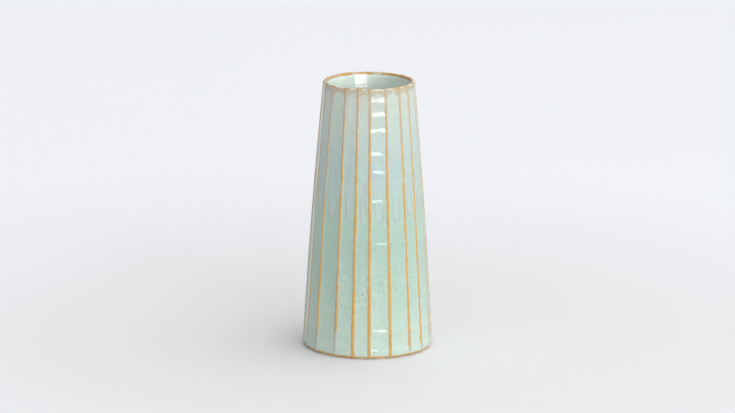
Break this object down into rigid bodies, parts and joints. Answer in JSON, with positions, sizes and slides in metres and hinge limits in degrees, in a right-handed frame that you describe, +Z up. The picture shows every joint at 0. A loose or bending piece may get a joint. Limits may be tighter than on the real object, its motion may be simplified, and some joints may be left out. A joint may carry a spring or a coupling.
{
  "type": "stoneware vase",
  "caption": "Tapered fluted stoneware vase with a round mouth, mint glaze, ochre ribs between the flutes and a milky second dip running down in tongues.",
  "frame": {"origin": "centre of the foot, on the plane that the vase stands on", "axes": "+Z up along the vase's axis; -Y faces the side seen from the front, and +X is to the right of it"},
  "size_m": [0.0964, 0.0964, 0.2],
  "materials": {
    "stoneware": "bare fired buff stoneware, matt and slightly gritty",
    "mint_glaze": "glossy mint green celadon glaze with fine dark specks",
    "milky_glaze": "glossy milky blue-grey glaze, a second dip over the first",
    "ochre_glaze": "glossy ochre glaze, thin and warm where it breaks over an edge",
    "liner_glaze": "glossy mint liner glaze"
  },
  "bodies": {
    "root": {"stoneware_wall": "stoneware", "stoneware_floor": "stoneware", "foot_ring": "stoneware", "liner_glaze": "liner_glaze", "rim_band": "ochre_glaze", "foot_line": "ochre_glaze", "milky_dip": "milky_glaze", "mint_panel_01": "mint_glaze", "mint_panel_02": "mint_glaze", "mint_panel_03": "mint_glaze", "mint_panel_04": "mint_glaze", "mint_panel_05": "mint_glaze", "mint_panel_06": "mint_glaze", "mint_panel_07": "mint_glaze", "mint_panel_08": "mint_glaze", "mint_panel_09": "mint_glaze", "mint_panel_10": "mint_glaze", "mint_panel_11": "mint_glaze", "mint_panel_12": "mint_glaze", "mint_panel_13": "mint_glaze", "mint_panel_14": "mint_glaze", "mint_panel_15": "mint_glaze", "mint_panel_16": "mint_glaze", "mint_panel_17": "mint_glaze", "mint_panel_18": "mint_glaze", "mint_panel_19": "mint_glaze", "mint_panel_20": "mint_glaze", "ochre_rib_01": "ochre_glaze", "ochre_rib_02": "ochre_glaze", "ochre_rib_03": "ochre_glaze", "ochre_rib_04": "ochre_glaze", "ochre_rib_05": "ochre_glaze", "ochre_rib_06": "ochre_glaze", "ochre_rib_07": "ochre_glaze", "ochre_rib_08": "ochre_glaze", "ochre_rib_09": "ochre_glaze", "ochre_rib_10": "ochre_glaze", "ochre_rib_11": "ochre_glaze", "ochre_rib_12": "ochre_glaze", "ochre_rib_13": "ochre_glaze", "ochre_rib_14": "ochre_glaze", "ochre_rib_15": "ochre_glaze", "ochre_rib_16": "ochre_glaze", "ochre_rib_17": "ochre_glaze", "ochre_rib_18": "ochre_glaze", "ochre_rib_19": "ochre_glaze", "ochre_rib_20": "ochre_glaze"}
  },
  "joints": []
}
